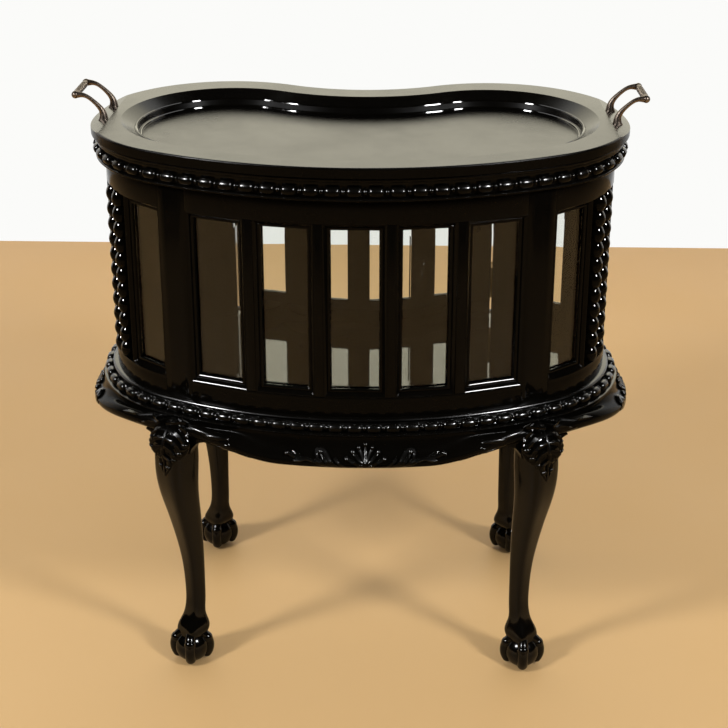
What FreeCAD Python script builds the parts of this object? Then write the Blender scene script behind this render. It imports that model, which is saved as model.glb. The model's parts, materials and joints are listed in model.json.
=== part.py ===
import FreeCAD, Part
import math
import os

# Kidney-shaped dumbwaiter table: a lift-off tray on a glazed cabinet with a hinged concave back door,
# standing on a flared apron and four cabriole legs.
# Millimetres, +Z up, origin on the floor under the middle.

# Plan outline of the glazed wall: one front arc, two end arcs and one hollow back arc, all tangent.
HALF_WIDTH = 347.0
HALF_DEPTH = 188.0
END_RADIUS = 165.0
BACK_HOLLOW_Y = 145.6
WALL = 20.0

# Plan outline of the tray well, a smaller kidney that stands a little nearer the front.
WELL_HALF_WIDTH = 323.0
WELL_HALF_DEPTH = 169.5
WELL_END_RADIUS = 145.0
WELL_HOLLOW_Y = 127.1
WELL_SHIFT_Y = -3.5

# Heights, from the floor up.
APRON_TOP = 393.0
FLOOR_UNDER = 387.0
FLOOR_TOP = 411.0
SASH_BOTTOM = 440.5
SASH_TOP = 681.5
WALL_TOP = 716.0
TOP_BOARD_TOP = 728.0
MOULDING_TOP = 747.0
TRAY_EDGE_BOTTOM = 748.5
TRAY_TOP = 762.0
TRAY_FLOOR = 741.0

# Offsets of the larger outlines from the wall.
TRAY_OUT = 17.0
APRON_OUT = 36.0
BOARD_IN = -2.0
TOP_BOARD_IN = -4.0
APRON_IN = -1.6

# Half-round strings that carry the carved beads.
TOP_STRING_Z = 731.5
BASE_STRING_Z = 404.5
STRING_RADIUS = 6.5
STRING_OUT = 8.5

# Windows: a moulded sash in the wall, a bevelled pane in the sash, a bead behind the pane.
SASH_FACE = 9.5
SASH_DEPTH = 18.0
REBATE = 3.0
REBATE_DEPTH = 10.0
PANE_BACK = 14.0
PANE_EDGE = 10.5
PANE_FACE = 10.2
PANE_BEVEL = 13.0
PANE_MARGIN = 2.6

# Sight edges of the windows, as distances along the outline from the front centre.
CENTRE_PANE = (-32.0, 32.0)
FRONT_PANES = [(62.8, 123.4), (155.4, 218.4)]
END_PANES = [(278.3, 326.7), (420.0, 477.6), (570.9, 619.3)]
# The same for the back door, to each side of its windows' middle; that is given from the back centre.
DOOR_PANES = [(12.0, 76.0), (109.0, 165.5)]
DOOR_MIDDLE = -5.0

# Ball-turned pilasters, standing between the rails in a recess of the wall.
PILASTER_POSITIONS = [361.3, 388.3, 509.3, 536.3]
PILASTER_AXIS = -6.1
PILASTER_RECESS = -9.0
BALL_RADIUS = 11.0
BALL_NECK = 7.0
BALL_COUNT = 11
BALL_PITCH = (SASH_TOP - SASH_BOTTOM) / BALL_COUNT

# Legs.
LEG_FRONT_S = 241.0
LEG_BACK_S = 656.0
LEG_FRONT_OUT = 4.0
LEG_BACK_OUT = -2.0
LEG_TURN = 58.0
LEG_TOP = 370.5
LEG_BLOCK = 36.0
FOOT_SHIFT = 6.0
FOOT_BALL = 25.0
FOOT_BALL_Z = 23.0
TOE_RADIUS = 7.5

# Brackets beside each knee: where they start from the leg's middle, their length and drop, and their depth.
BRACKET_START = 24.0
BRACKET_LENGTH = 20.0
BRACKET_DROP = 24.0
BRACKET_TOP = 370.7
BRACKET_DEPTH = (10.0, 31.0)

# Height, width and outward shift of the leg at each of its sections.
LEG_SECTIONS = [
    (LEG_TOP, 51.0, 14.0), (340.0, 52.0, 18.0), (310.0, 51.0, 19.0), (280.0, 46.5, 16.5),
    (245.0, 40.4, 9.0), (205.0, 33.8, 1.0), (160.0, 27.6, -5.5), (115.0, 24.6, -7.7),
    (88.0, 24.6, -6.5), (70.0, 29.0, -3.0), (53.0, 40.0, 0.0), (42.0, 36.0, 4.0), (32.0, 30.0, FOOT_SHIFT),
]

# Lower edge of the apron: high beside the knees and low in the middle of each side.
# Each side has its lowest height, the half length of its flat middle and the length of its rise.
APRON_KNEE_Z = 372.0
FRONT_EDGE = (352.5, 95.0, 120.0)
END_EDGE = (350.0, 10.0, 150.0)
BACK_EDGE = (352.5, 95.0, 120.0)

# Carved ornaments on the aprons and knees; the front one sits a little right of the middle.
# Each boss has a middle height, a half width, a half height and a half depth.
FRONT_CARVING_S = 14.0
FRONT_CARVED_OUT = 4.0
END_CARVED_OUT = 0.5
APRON_LEAN = 34.0
KNEE_OUT = 15.0
KNEE_LEAN = 20.0
CARVED_SHELL = (15.0, 27.0, 15.0, 6.0)
CARVED_SCROLL = (13.0, 20.0, 10.0, 5.0)
CARVED_TAIL = (10.0, 22.0, 6.5, 4.0)
KNEE_LEAF = (362.0, 30.0, 24.0, 9.0)

# Back door and its hinges.
DOOR_EDGE_X = 190.8
POST_EDGE_X = 193.2
DOOR_BOTTOM = 414.0
DOOR_TOP = 713.0
HINGE_X = 192.0
HINGE_Y = 192.0
HINGE_HEIGHTS = [465.0, 660.0]
HINGE_LENGTH = 48.0
LEAF_WIDTH = 20.0
LEAF_THICK = 1.0
LEAF_GAP = 0.2
KNUCKLE_ROOM = 0.3
BARREL_RADIUS = 3.6
PIN_RADIUS = 1.5
PIN_CLEARANCE = 0.05
KNOB_INSET = 9.0
KNOB_Z = 561.0

# Tray and handles; each handle stands on a sloping facet of the rim and faces a little to the back.
FACET_X = 336.0
FACET_DROP = 7.0
HANDLE_Y = 40.0
HANDLE_TURN = 3.0
HANDLE_FOOT_X = 344.6
HANDLE_HALF_SPACING = 31.5
GRIP_X = 381.0
GRIP_Z = 793.0
GRIP_RADIUS = 4.3
GRIP_BALL = 5.2

# Place and radius of a handle arm at each of its sections, from the flared foot to the grip.
ARM_SECTIONS = [
    (HANDLE_FOOT_X, 754.0, 7.2), (HANDLE_FOOT_X, 760.5, 6.4), (345.2, 770.0, 4.4), (352.0, 780.0, 3.2),
    (358.5, 786.0, 2.8), (364.8, 790.5, 2.8), (371.5, 792.8, 3.3), (378.0, 793.0, 4.4),
]


def vec(x, y, z):
    return FreeCAD.Vector(x, y, z)


UP = vec(0, 0, 1)


class Kidney:
    """Plan outline of four tangent arcs: a bowed front, two round ends and a hollow back."""

    def __init__(self, half_width, half_depth, end_radius, hollow_y):
        self.end_radius = end_radius
        self.end_x = half_width - end_radius
        self.end_y = half_depth - end_radius
        self.front_y = self.arc_middle(end_radius - half_depth)
        self.front_radius = self.front_y + half_depth
        self.back_y = self.arc_middle(hollow_y - end_radius)
        self.back_radius = self.back_y - hollow_y
        self.front_angle = math.degrees(math.atan2(self.end_x, self.front_y - self.end_y))
        self.back_angle = math.degrees(math.atan2(self.end_x, self.back_y - self.end_y))
        self.end_start = self.front_angle - 90.0
        self.end_stop = 90.0 + self.back_angle
        self.front_length = self.front_radius * math.radians(self.front_angle)
        self.end_length = end_radius * math.radians(self.end_stop - self.end_start)
        self.back_length = self.back_radius * math.radians(self.back_angle)
        self.half_length = self.front_length + self.end_length + self.back_length

    def arc_middle(self, gap):
        """Centre height of the middle arc that is tangent to both end arcs."""
        return (gap ** 2 - self.end_x ** 2 - self.end_y ** 2) / (2 * gap - 2 * self.end_y)

    def point(self, s):
        """Point and outward normal, s along the outline from the front centre (+ toward +X)."""
        side = 1.0 if s >= 0 else -1.0
        run = abs(s)
        if run <= self.front_length:
            angle = math.radians(-90.0) + run / self.front_radius
            normal = (math.cos(angle), math.sin(angle))
            point = (self.front_radius * normal[0], self.front_y + self.front_radius * normal[1])
        elif run <= self.front_length + self.end_length:
            angle = math.radians(self.end_start) + (run - self.front_length) / self.end_radius
            normal = (math.cos(angle), math.sin(angle))
            point = (self.end_x + self.end_radius * normal[0], self.end_y + self.end_radius * normal[1])
        else:
            angle = math.radians(-90.0) + (self.half_length - run) / self.back_radius
            normal = (-math.cos(angle), -math.sin(angle))
            point = (-self.back_radius * normal[0], self.back_y - self.back_radius * normal[1])
        return side * point[0], point[1], side * normal[0], normal[1]

    def offset_point(self, s, offset, z):
        x, y, nx, ny = self.point(s)
        return vec(x + offset * nx, y + offset * ny, z)

    def wire(self, offset, z):
        """Closed outline at one height, offset outward."""
        end = self.front_length + self.end_length
        places = [0.0, self.front_length, self.front_length + self.end_length / 2, end, self.half_length]
        right = [self.offset_point(s, offset, z) for s in places]
        left = [vec(-p.x, p.y, p.z) for p in right]
        arcs = [
            Part.Arc(left[1], right[0], right[1]),
            Part.Arc(right[1], right[2], right[3]),
            Part.Arc(right[3], right[4], left[3]),
            Part.Arc(left[3], left[2], left[1]),
        ]
        return Part.Wire([arc.toShape() for arc in arcs])

    def slab(self, offset, bottom, top):
        return Part.Face(self.wire(offset, bottom)).extrude(vec(0, 0, top - bottom))

    def front_arc(self, points, first=None, last=None):
        """Moulding section carried along the front, between two angles."""
        start = -90 - self.front_angle if first is None else first
        stop = -90 + self.front_angle if last is None else last
        return swept_arc(points, (0, self.front_y), self.front_radius, 1, start, stop)

    def end_arc(self, points, first=None, last=None):
        start = self.end_start if first is None else first
        stop = self.end_stop if last is None else last
        return swept_arc(points, (self.end_x, self.end_y), self.end_radius, 1, start, stop)

    def back_arc(self, points, first=None, last=None):
        start = -90 - self.back_angle if first is None else first
        stop = -90 + self.back_angle if last is None else last
        return swept_arc(points, (0, self.back_y), self.back_radius, -1, start, stop)

    def ring(self, points):
        """Moulding section carried right round."""
        end = self.end_arc(points)
        return fused([self.front_arc(points), end, self.back_arc(points), mirrored(end)])


def profile_face(points, radius, sign):
    """Moulding section as a face in the XZ plane: (offset, z) points placed at an arc's radius."""
    corners = [vec(radius + sign * d, 0, z) for d, z in points]
    return Part.Face(Part.makePolygon(corners + [corners[0]]))


def swept_arc(points, centre, radius, sign, start, stop):
    """Moulding section turned about an arc centre from one angle to another."""
    face = profile_face(points, radius, sign)
    face.rotate(vec(0, 0, 0), UP, start)
    face.translate(vec(centre[0], centre[1], 0))
    return face.revolve(vec(centre[0], centre[1], 0), UP, stop - start)


def mirrored(shape):
    return shape.mirror(vec(0, 0, 0), vec(1, 0, 0))


def fused(shapes):
    joined = shapes[0].multiFuse(shapes[1:])
    return joined.removeSplitter()


def rounded(centre_d, centre_z, radius, start, stop, steps=8):
    """Points of an arc in a moulding section, angles in degrees from the outward direction."""
    angles = [math.radians(start + (stop - start) * i / steps) for i in range(steps + 1)]
    return [(centre_d + radius * math.cos(a), centre_z + radius * math.sin(a)) for a in angles]


wall_line = Kidney(HALF_WIDTH, HALF_DEPTH, END_RADIUS, BACK_HOLLOW_Y)
well_line = Kidney(WELL_HALF_WIDTH, WELL_HALF_DEPTH, WELL_END_RADIUS, WELL_HOLLOW_Y)
FRONT_LENGTH = wall_line.front_length
END_FINISH = wall_line.front_length + wall_line.end_length
HALF_LENGTH = wall_line.half_length


def outline_point(s):
    return wall_line.point(s)


def offset_point(s, offset, z):
    return wall_line.offset_point(s, offset, z)


def wall_between(first, last, bottom, top, face=0.0):
    """Piece of the wall from one distance to another along the right half, with square-cut ends."""
    section = [(-WALL, bottom), (face, bottom), (face, top), (-WALL, top)]
    pieces = []
    if first < FRONT_LENGTH:
        runs = (first, min(last, FRONT_LENGTH))
        angles = [-90 + math.degrees(s / wall_line.front_radius) for s in runs]
        pieces.append(wall_line.front_arc(section, *angles))
    if last > FRONT_LENGTH and first < END_FINISH:
        runs = (max(first, FRONT_LENGTH), min(last, END_FINISH))
        angles = [wall_line.end_start + math.degrees((s - FRONT_LENGTH) / END_RADIUS) for s in runs]
        pieces.append(wall_line.end_arc(section, *angles))
    if last > END_FINISH:
        runs = (last, max(first, END_FINISH))
        angles = [-90 + math.degrees((HALF_LENGTH - s) / wall_line.back_radius) for s in runs]
        pieces.append(wall_line.back_arc(section, *angles))
    if len(pieces) == 1:
        return pieces[0]
    return fused(pieces)


# Windows


class Window:
    """One window: its place on the outline, and its sash, pane and bead in that place."""

    def __init__(self, first, last):
        one = offset_point(first - SASH_FACE, 0, 0)
        two = offset_point(last + SASH_FACE, 0, 0)
        x, y, nx, ny = outline_point((first + last) / 2)
        along = (two - one).normalize()
        outward = vec(along.y, -along.x, 0)
        if outward.x * nx + outward.y * ny < 0:
            outward = outward * -1.0
        chord_middle = (one + two) * 0.5
        bulge = (vec(x, y, 0) - chord_middle).dot(outward)
        self.origin = chord_middle + outward * min(bulge, 0.0)
        self.along = along
        self.outward = outward
        self.half = (two - one).Length / 2 - SASH_FACE

    def place(self, u, depth, z):
        """World point from a distance along the window, a depth into the wall and a height."""
        p = self.origin + self.along * u - self.outward * depth
        return vec(p.x, p.y, z)

    def rectangle(self, margin, depth):
        """Corners of the sight opening grown by a margin, at one depth."""
        u = self.half + margin
        low = SASH_BOTTOM + SASH_FACE - margin
        high = SASH_TOP - SASH_FACE + margin
        corners = [(-u, low), (u, low), (u, high), (-u, high)]
        return [self.place(across, depth, z) for across, z in corners]

    def frame(self, section):
        """Mitred frame: each edge of the (margin, depth) section makes one face on each side."""
        loops = [self.rectangle(margin, depth) for margin, depth in section]
        faces = []
        for here, there in zip(loops, loops[1:] + loops[:1]):
            for i in range(4):
                j = (i + 1) % 4
                faces.append(Part.Face(Part.makePolygon([here[i], here[j], there[j], there[i], here[i]])))
        solid = Part.makeSolid(Part.makeShell(faces))
        if solid.Volume < 0:
            solid.reverse()
        return solid

    def block(self, margin, near, far):
        """Plain block as wide as the sight opening plus a margin, between two depths."""
        corners = self.rectangle(margin, near)
        face = Part.Face(Part.makePolygon(corners + [corners[0]]))
        return face.extrude(self.outward * (near - far))

    def sash(self):
        section = [
            (SASH_FACE, SASH_DEPTH), (SASH_FACE, 0.0), (8.6, 0.0), (4.8, 4.2), (4.8, 6.2), (3.6, 5.2),
            (1.4, 5.2), (0.0, 6.6), (0.0, REBATE_DEPTH), (REBATE, REBATE_DEPTH), (REBATE, SASH_DEPTH),
        ]
        return self.frame(section)

    def bead(self):
        return self.frame([(REBATE, PANE_BACK), (-1.0, PANE_BACK), (-1.0, 16.0), (1.0, SASH_DEPTH),
                           (REBATE, SASH_DEPTH)])

    def pane(self):
        back = self.rectangle(PANE_MARGIN, PANE_BACK)
        edge = self.rectangle(PANE_MARGIN, PANE_EDGE)
        face = self.rectangle(PANE_MARGIN - PANE_BEVEL, PANE_FACE)
        wires = [Part.makePolygon(loop + [loop[0]]) for loop in (back, edge, face)]
        plate = Part.makeLoft(wires[:2], True, True)
        bevel = Part.makeLoft(wires[1:], True, True)
        return plate.fuse(bevel)

    def opening(self):
        return self.block(SASH_FACE, -30.0, WALL + 30.0)


def mirror_panes(panes):
    return [(-last, -first) for first, last in panes]


def door_window(first, last):
    """Window of the back door, from its edges along the back."""
    if first < 0:
        return Window(-HALF_LENGTH - last, -HALF_LENGTH - first)
    return Window(HALF_LENGTH - last, HALF_LENGTH - first)


front_windows = [Window(*p) for p in mirror_panes(FRONT_PANES)[::-1] + [CENTRE_PANE] + FRONT_PANES]
right_windows = [Window(*p) for p in END_PANES]
left_windows = [Window(*p) for p in mirror_panes(END_PANES)]
door_panes = mirror_panes(DOOR_PANES)[::-1] + DOOR_PANES
door_windows = [door_window(DOOR_MIDDLE + first, DOOR_MIDDLE + last) for first, last in door_panes]

FRONT_POST = (FRONT_PANES[-1][1] + SASH_FACE, END_PANES[0][0] - SASH_FACE)
BACK_POST_START = END_PANES[-1][1] + SASH_FACE
DOOR_START = FRONT_LENGTH + END_RADIUS * math.radians(80.0 - wall_line.end_start)


def group(shapes):
    return Part.makeCompound(shapes)


def cut_openings(wall, windows):
    for window in windows:
        wall = wall.cut(window.opening())
    return wall


# Cabinet wall


def front_rail(bottom, top):
    half = math.degrees(FRONT_POST[0] / wall_line.front_radius)
    section = [(-WALL, bottom), (0, bottom), (0, top), (-WALL, top)]
    return wall_line.front_arc(section, -90 - half, -90 + half)


def front_stiles():
    wall = cut_openings(front_rail(SASH_BOTTOM, SASH_TOP), front_windows)
    return group([piece for piece in wall.Solids if piece.Volume > 2000.0])


def front_post():
    post = wall_between(FRONT_POST[0], FRONT_POST[1], FLOOR_TOP, WALL_TOP)
    return cut_openings(post, [front_windows[-1], right_windows[0]])


def end_rail(bottom, top):
    return wall_between(FRONT_POST[1], BACK_POST_START, bottom, top)


def end_stiles():
    """Stiles between the end windows, set back behind the pilasters."""
    wall = wall_between(FRONT_POST[1], BACK_POST_START, SASH_BOTTOM, SASH_TOP, PILASTER_RECESS)
    wall = cut_openings(wall, right_windows)
    return group([piece for piece in wall.Solids if piece.Volume > 2000.0])


def back_post():
    wall = wall_between(BACK_POST_START, DOOR_START + 60.0, FLOOR_TOP, WALL_TOP)
    beyond = Part.makeBox(POST_EDGE_X, 400, 400, vec(0, 0, FLOOR_TOP - 20))
    return cut_openings(wall.cut(beyond), [right_windows[-1]])


def hinge_post():
    """Back post with the screw holes of the hinge leaves."""
    post = back_post()
    for screw in hinge_screws(1.0):
        post = post.cut(screw)
    return post


def pilaster(s):
    """String of turned balls from rail to rail, flat against the recess behind."""
    edges = [Part.makeLine(vec(0, 0, SASH_BOTTOM), vec(BALL_NECK, 0, SASH_BOTTOM))]
    for i in range(BALL_COUNT):
        low = SASH_BOTTOM + i * BALL_PITCH
        arc = Part.Arc(vec(BALL_NECK, 0, low), vec(BALL_RADIUS, 0, low + BALL_PITCH / 2),
                       vec(BALL_NECK, 0, low + BALL_PITCH))
        edges.append(arc.toShape())
    edges.append(Part.makeLine(vec(BALL_NECK, 0, SASH_TOP), vec(0, 0, SASH_TOP)))
    edges.append(Part.makeLine(vec(0, 0, SASH_TOP), vec(0, 0, SASH_BOTTOM)))
    column = Part.Face(Part.Wire(edges)).revolve(vec(0, 0, 0), UP, 360)
    column.translate(offset_point(s, PILASTER_AXIS, 0))
    middle = vec(wall_line.end_x, wall_line.end_y, FLOOR_TOP - 50)
    return column.cut(Part.makeCylinder(END_RADIUS + PILASTER_RECESS, 400, middle))


def pilasters():
    return group([pilaster(s) for s in PILASTER_POSITIONS])


# Top and base mouldings


def top_moulding():
    """Half-round string between two fillets, under the tray."""
    string = rounded(STRING_OUT, TOP_STRING_Z, STRING_RADIUS, -75, 75)
    lower = [(TOP_BOARD_IN, WALL_TOP), (11.5, WALL_TOP), (11.5, 719.5), (8.0, 721.5)]
    upper = [(8.0, 741.5), (12.5, 743.0), (12.5, MOULDING_TOP), (TOP_BOARD_IN, MOULDING_TOP)]
    return wall_line.ring(lower + string + upper)


def base_bead():
    """Half-round string over the apron, under the glazed wall."""
    string = rounded(STRING_OUT, BASE_STRING_Z, STRING_RADIUS, -50, 50)
    lower = [(BOARD_IN, APRON_TOP), (17.0, APRON_TOP), (17.0, 396.0), (11.0, 397.5)]
    return wall_line.ring(lower + string + [(9.0, FLOOR_TOP), (BOARD_IN, FLOOR_TOP)])


def base_board():
    return wall_line.slab(BOARD_IN, FLOOR_UNDER, FLOOR_TOP)


def top_board():
    return wall_line.slab(TOP_BOARD_IN, WALL_TOP, TOP_BOARD_TOP)


# Apron


def apron_section(s, lower):
    """Section of the apron at one place: a hollow flare outside, a rounded nose, a flat inside."""
    flare = [(19.0, APRON_TOP), (20.5, APRON_TOP - 8.0), (27.0, lower + 19.0), (APRON_OUT, lower + 8.0),
             (33.5, lower + 2.0), (26.0, lower)]
    curve = Part.BSplineCurve()
    curve.interpolate([offset_point(s, d, z) for d, z in flare])
    corners = [offset_point(s, d, z) for d, z in (flare[-1], (8.0, lower + 6.0), (APRON_IN, lower + 8.0),
                                                 (APRON_IN, APRON_TOP), flare[0])]
    lines = [Part.makeLine(a, b) for a, b in zip(corners, corners[1:])]
    return Part.Wire([curve.toShape()] + lines)


def apron(first, last, middle, edge, sections):
    """Apron from one place to another; its lower edge swings down toward the middle."""
    low, flat, rise = edge
    wires = []
    for i in range(sections + 1):
        s = first + (last - first) * i / sections
        t = min(max((abs(s - middle) - flat) / rise, 0.0), 1.0)
        lower = low + (APRON_KNEE_Z - low) * t * t * (3.0 - 2.0 * t)
        wires.append(apron_section(s, lower))
    return Part.makeLoft(wires, True, False)


def back_apron():
    half = apron(LEG_BACK_S, HALF_LENGTH, HALF_LENGTH, BACK_EDGE, 14)
    return fused([half, mirrored(half)])


# Carved ornaments


def boss(s, reach, z, half_width, half_height, half_depth, lean):
    """Rounded boss on the outline, leaning back by an angle; its outermost point is at the reach."""
    x, y, nx, ny = outline_point(s)
    tilt = math.radians(lean)
    offset = reach - math.hypot(half_height * math.sin(tilt), half_depth * math.cos(tilt))
    across = vec(-ny, nx, 0) * (half_width / 10.0)
    rise = vec(-nx * math.sin(tilt), -ny * math.sin(tilt), math.cos(tilt)) * (half_height / 10.0)
    depth = vec(nx * math.cos(tilt), ny * math.cos(tilt), math.sin(tilt)) * (half_depth / 10.0)
    centre = offset_point(s, offset, z)
    matrix = FreeCAD.Matrix(across.x, rise.x, depth.x, centre.x, across.y, rise.y, depth.y, centre.y,
                            across.z, rise.z, depth.z, centre.z, 0, 0, 0, 1)
    return Part.makeSphere(10.0).transformGeometry(matrix)


def proud_of(piece, ground):
    """The part of a boss that stands out of the surfaces it is carved on."""
    for shape in ground:
        piece = piece.cut(shape)
    return max(piece.Solids, key=lambda solid: solid.Volume)


def apron_carving(s, lower, out, tails):
    """Shell between two scrolls, with or without leaf tails, on the flare of an apron."""
    places = [(0.0, CARVED_SHELL), (-46.0, CARVED_SCROLL), (46.0, CARVED_SCROLL)]
    if tails:
        places += [(-84.0, CARVED_TAIL), (84.0, CARVED_TAIL)]
    reach = APRON_OUT + out
    return [boss(s + place, reach, lower + size[0], *size[1:], APRON_LEAN) for place, size in places]


def knee_leaf(s):
    return boss(s, APRON_OUT + KNEE_OUT, *KNEE_LEAF, KNEE_LEAN)


# Legs


def leg_frame(s, front):
    """Middle of a leg and its outward direction, for the right side of the table."""
    centre = offset_point(s, LEG_FRONT_OUT if front else LEG_BACK_OUT, 0)
    turn = math.radians(-LEG_TURN if front else LEG_TURN)
    return centre, vec(math.cos(turn), math.sin(turn), 0)


def leg_section(middle, width, z):
    """Soft square section with its arrises to the front, the back and the sides."""
    points = []
    for i in range(8):
        radius = width * (0.57 if i % 2 == 0 else 0.485)
        angle = i * math.pi / 4
        points.append(vec(middle.x + radius * math.cos(angle), middle.y + radius * math.sin(angle), z))
    curve = Part.BSplineCurve()
    curve.interpolate(points, True)
    return Part.Wire(curve.toShape())


def foot(centre):
    """Ball gripped by four toes."""
    middle = centre + vec(0, 0, FOOT_BALL_Z)
    pieces = [Part.makeSphere(FOOT_BALL, middle)]
    reach = UP * (FOOT_BALL - 0.5)
    for direction in (vec(1, 0, 0), vec(0, 1, 0), vec(-1, 0, 0), vec(0, -1, 0)):
        hinge = UP.cross(direction)
        circle = Part.Wire(Part.makeCircle(TOE_RADIUS, middle + reach, direction))
        toe = Part.Face(circle).revolve(middle, hinge, 122)
        tip = middle + FreeCAD.Rotation(hinge, 122).multVec(reach)
        knuckle = middle + FreeCAD.Rotation(hinge, 62).multVec(reach)
        pieces += [toe, Part.makeSphere(TOE_RADIUS, tip), Part.makeSphere(TOE_RADIUS + 1.0, knuckle)]
    whole = pieces[0].multiFuse(pieces[1:])
    floor = Part.makeBox(200, 200, 40, vec(centre.x - 100, centre.y - 100, -40))
    return whole.cut(floor)


def leg_block(centre, outward):
    """Square top of the leg, housed behind the apron."""
    block = Part.makeBox(LEG_BLOCK, LEG_BLOCK, FLOOR_UNDER - LEG_TOP + 2.0,
                         vec(-LEG_BLOCK / 2, -LEG_BLOCK / 2, LEG_TOP - 2.0))
    block.rotate(vec(0, 0, 0), UP, math.degrees(math.atan2(outward.y, outward.x)))
    block.translate(centre - outward * 12.0)
    return block


def leg(s, front):
    centre, outward = leg_frame(s, front)
    wires = [leg_section(centre + outward * shift, width, z) for z, width, shift in LEG_SECTIONS]
    shank = Part.makeLoft(wires, True, False)
    return shank.multiFuse([leg_block(centre, outward), foot(centre + outward * FOOT_SHIFT)])


def knee_bracket(s, front, side):
    """Curved bracket that leads from the knee of a leg to the apron on one side of it."""
    start = s + side * BRACKET_START
    x, y, nx, ny = outline_point(start)
    along = vec(-ny, nx, 0) * side
    outward = vec(nx, ny, 0)

    def corner(run, drop):
        return offset_point(start, BRACKET_DEPTH[0], BRACKET_TOP - drop) + along * run

    curve = Part.BSplineCurve()
    curve.interpolate([corner(BRACKET_LENGTH, 2.0), corner(0.5 * BRACKET_LENGTH, 6.5),
                       corner(0.18 * BRACKET_LENGTH, 13.0), corner(0.0, BRACKET_DROP)])
    rest = Part.makePolygon([corner(0.0, BRACKET_DROP), corner(-8.0, BRACKET_DROP), corner(-8.0, 0.0),
                             corner(BRACKET_LENGTH, 0.0), corner(BRACKET_LENGTH, 2.0)])
    face = Part.Face(Part.Wire([curve.toShape()] + rest.Edges))
    bracket = face.extrude(outward * (BRACKET_DEPTH[1] - BRACKET_DEPTH[0]))
    return proud_of(bracket, [leg(s, front)])


def corner_block(s, front):
    """Block glued behind the leg, under the cabinet floor."""
    centre, outward = leg_frame(s, front)
    block = Part.makeBox(30.0, 70.0, 30.0, vec(-30.0, -35.0, FLOOR_UNDER - 30.0))
    block.rotate(vec(0, 0, 0), UP, math.degrees(math.atan2(outward.y, outward.x)))
    block.translate(centre - outward * (12.0 + LEG_BLOCK / 2))
    return block


def leg_bolt(s, front):
    """Bolt through the corner block into the top of the leg, with its washer and nut."""
    centre, outward = leg_frame(s, front)
    start = centre - outward * (12.0 + LEG_BLOCK / 2 + 38.0) + vec(0, 0, FLOOR_UNDER - 9.0)
    shaft = Part.makeCylinder(3.0, 62.0, start, outward)
    washer = Part.makeCylinder(8.0, 1.6, start + outward * 6.4, outward)
    nut = Part.makeCylinder(5.5, 5.0, start + outward * 1.4, outward)
    return fused([shaft, washer, nut])


# Back door


def door_rail(bottom, top):
    half = wall_between(DOOR_START, HALF_LENGTH, bottom, top)
    edge = Part.makeBox(2 * DOOR_EDGE_X, 400, 500, vec(-DOOR_EDGE_X, 0, 350))
    return fused([half, mirrored(half)]).common(edge)


def door_stiles():
    wall = cut_openings(door_rail(SASH_BOTTOM, SASH_TOP), door_windows)
    for screw in hinge_screws(-1.0):
        wall = wall.cut(screw)
    return [piece for piece in wall.Solids if piece.Volume > 2000.0]


def hinge_leaf(z, side):
    """One leaf of a butt hinge with its knuckles; side +1 is the case leaf, -1 the door leaf."""
    x = HINGE_X + (LEAF_GAP if side > 0 else -LEAF_GAP - LEAF_THICK)
    bottom = z - HINGE_LENGTH / 2
    plate = Part.makeBox(LEAF_THICK, LEAF_WIDTH, HINGE_LENGTH, vec(x, HINGE_Y - LEAF_WIDTH - 2.0, bottom))
    link = Part.makeBox(LEAF_THICK, 3.0, HINGE_LENGTH, vec(x, HINGE_Y - 3.0, bottom))
    third = HINGE_LENGTH / 3
    spans = [(-1.5, -0.5), (0.5, 1.5)] if side > 0 else [(-0.49, 0.49)]
    pieces = [plate]
    for first, last in spans:
        span = third * (last - first)
        at = vec(HINGE_X, HINGE_Y, z + third * first)
        pieces.append(Part.makeCylinder(BARREL_RADIUS, span, at))
        pieces.append(link.common(Part.makeBox(40, 40, span, at - vec(20, 20, 0))))
    other = [(-0.5, 0.5)] if side > 0 else [(-1.5, -0.49), (0.49, 1.5)]
    leaf = pieces[0].multiFuse(pieces[1:])
    for first, last in other:
        at = vec(HINGE_X, HINGE_Y, z + third * first)
        leaf = leaf.cut(Part.makeCylinder(BARREL_RADIUS + KNUCKLE_ROOM, third * (last - first), at))
    bore = PIN_RADIUS if side > 0 else PIN_RADIUS + PIN_CLEARANCE
    leaf = leaf.cut(Part.makeCylinder(bore, HINGE_LENGTH, vec(HINGE_X, HINGE_Y, bottom)))
    for screw in hinge_screws(side):
        leaf = leaf.cut(screw)
    return leaf.removeSplitter()


def hinge_pin(z):
    pin = Part.makeCylinder(PIN_RADIUS, HINGE_LENGTH, vec(HINGE_X, HINGE_Y, z - HINGE_LENGTH / 2))
    head = Part.makeCylinder(2.6, 1.5, vec(HINGE_X, HINGE_Y, z + HINGE_LENGTH / 2))
    return pin.fuse(head).removeSplitter()


def hinge_screws(side):
    """Screws of the case leaves (side +1) or the door leaves (side -1)."""
    screws = []
    for z in HINGE_HEIGHTS:
        for dz in (-16.0, 0.0, 16.0):
            start = vec(HINGE_X + side * LEAF_GAP, HINGE_Y - 14.0, z + dz)
            screws.append(Part.makeCylinder(1.3, 13.0, start, vec(side, 0, 0)))
    return screws


def turned(profile, base, axis):
    """Turned piece: (radius, height) points spun about an axis that starts at the base."""
    corners = [vec(radius, 0, height) for radius, height in profile]
    piece = Part.Face(Part.makePolygon(corners + [corners[0]])).revolve(vec(0, 0, 0), UP, 360)
    piece.Placement = FreeCAD.Placement(base, FreeCAD.Rotation(UP, axis))
    return piece


def knob_frame():
    """Place of the door knob, on the latch stile."""
    stile = DOOR_PANES[-1][1] - DOOR_MIDDLE + SASH_FACE
    s = -(HALF_LENGTH - stile - KNOB_INSET)
    x, y, nx, ny = outline_point(s)
    return vec(x, y, KNOB_Z), vec(nx, ny, 0)


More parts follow.
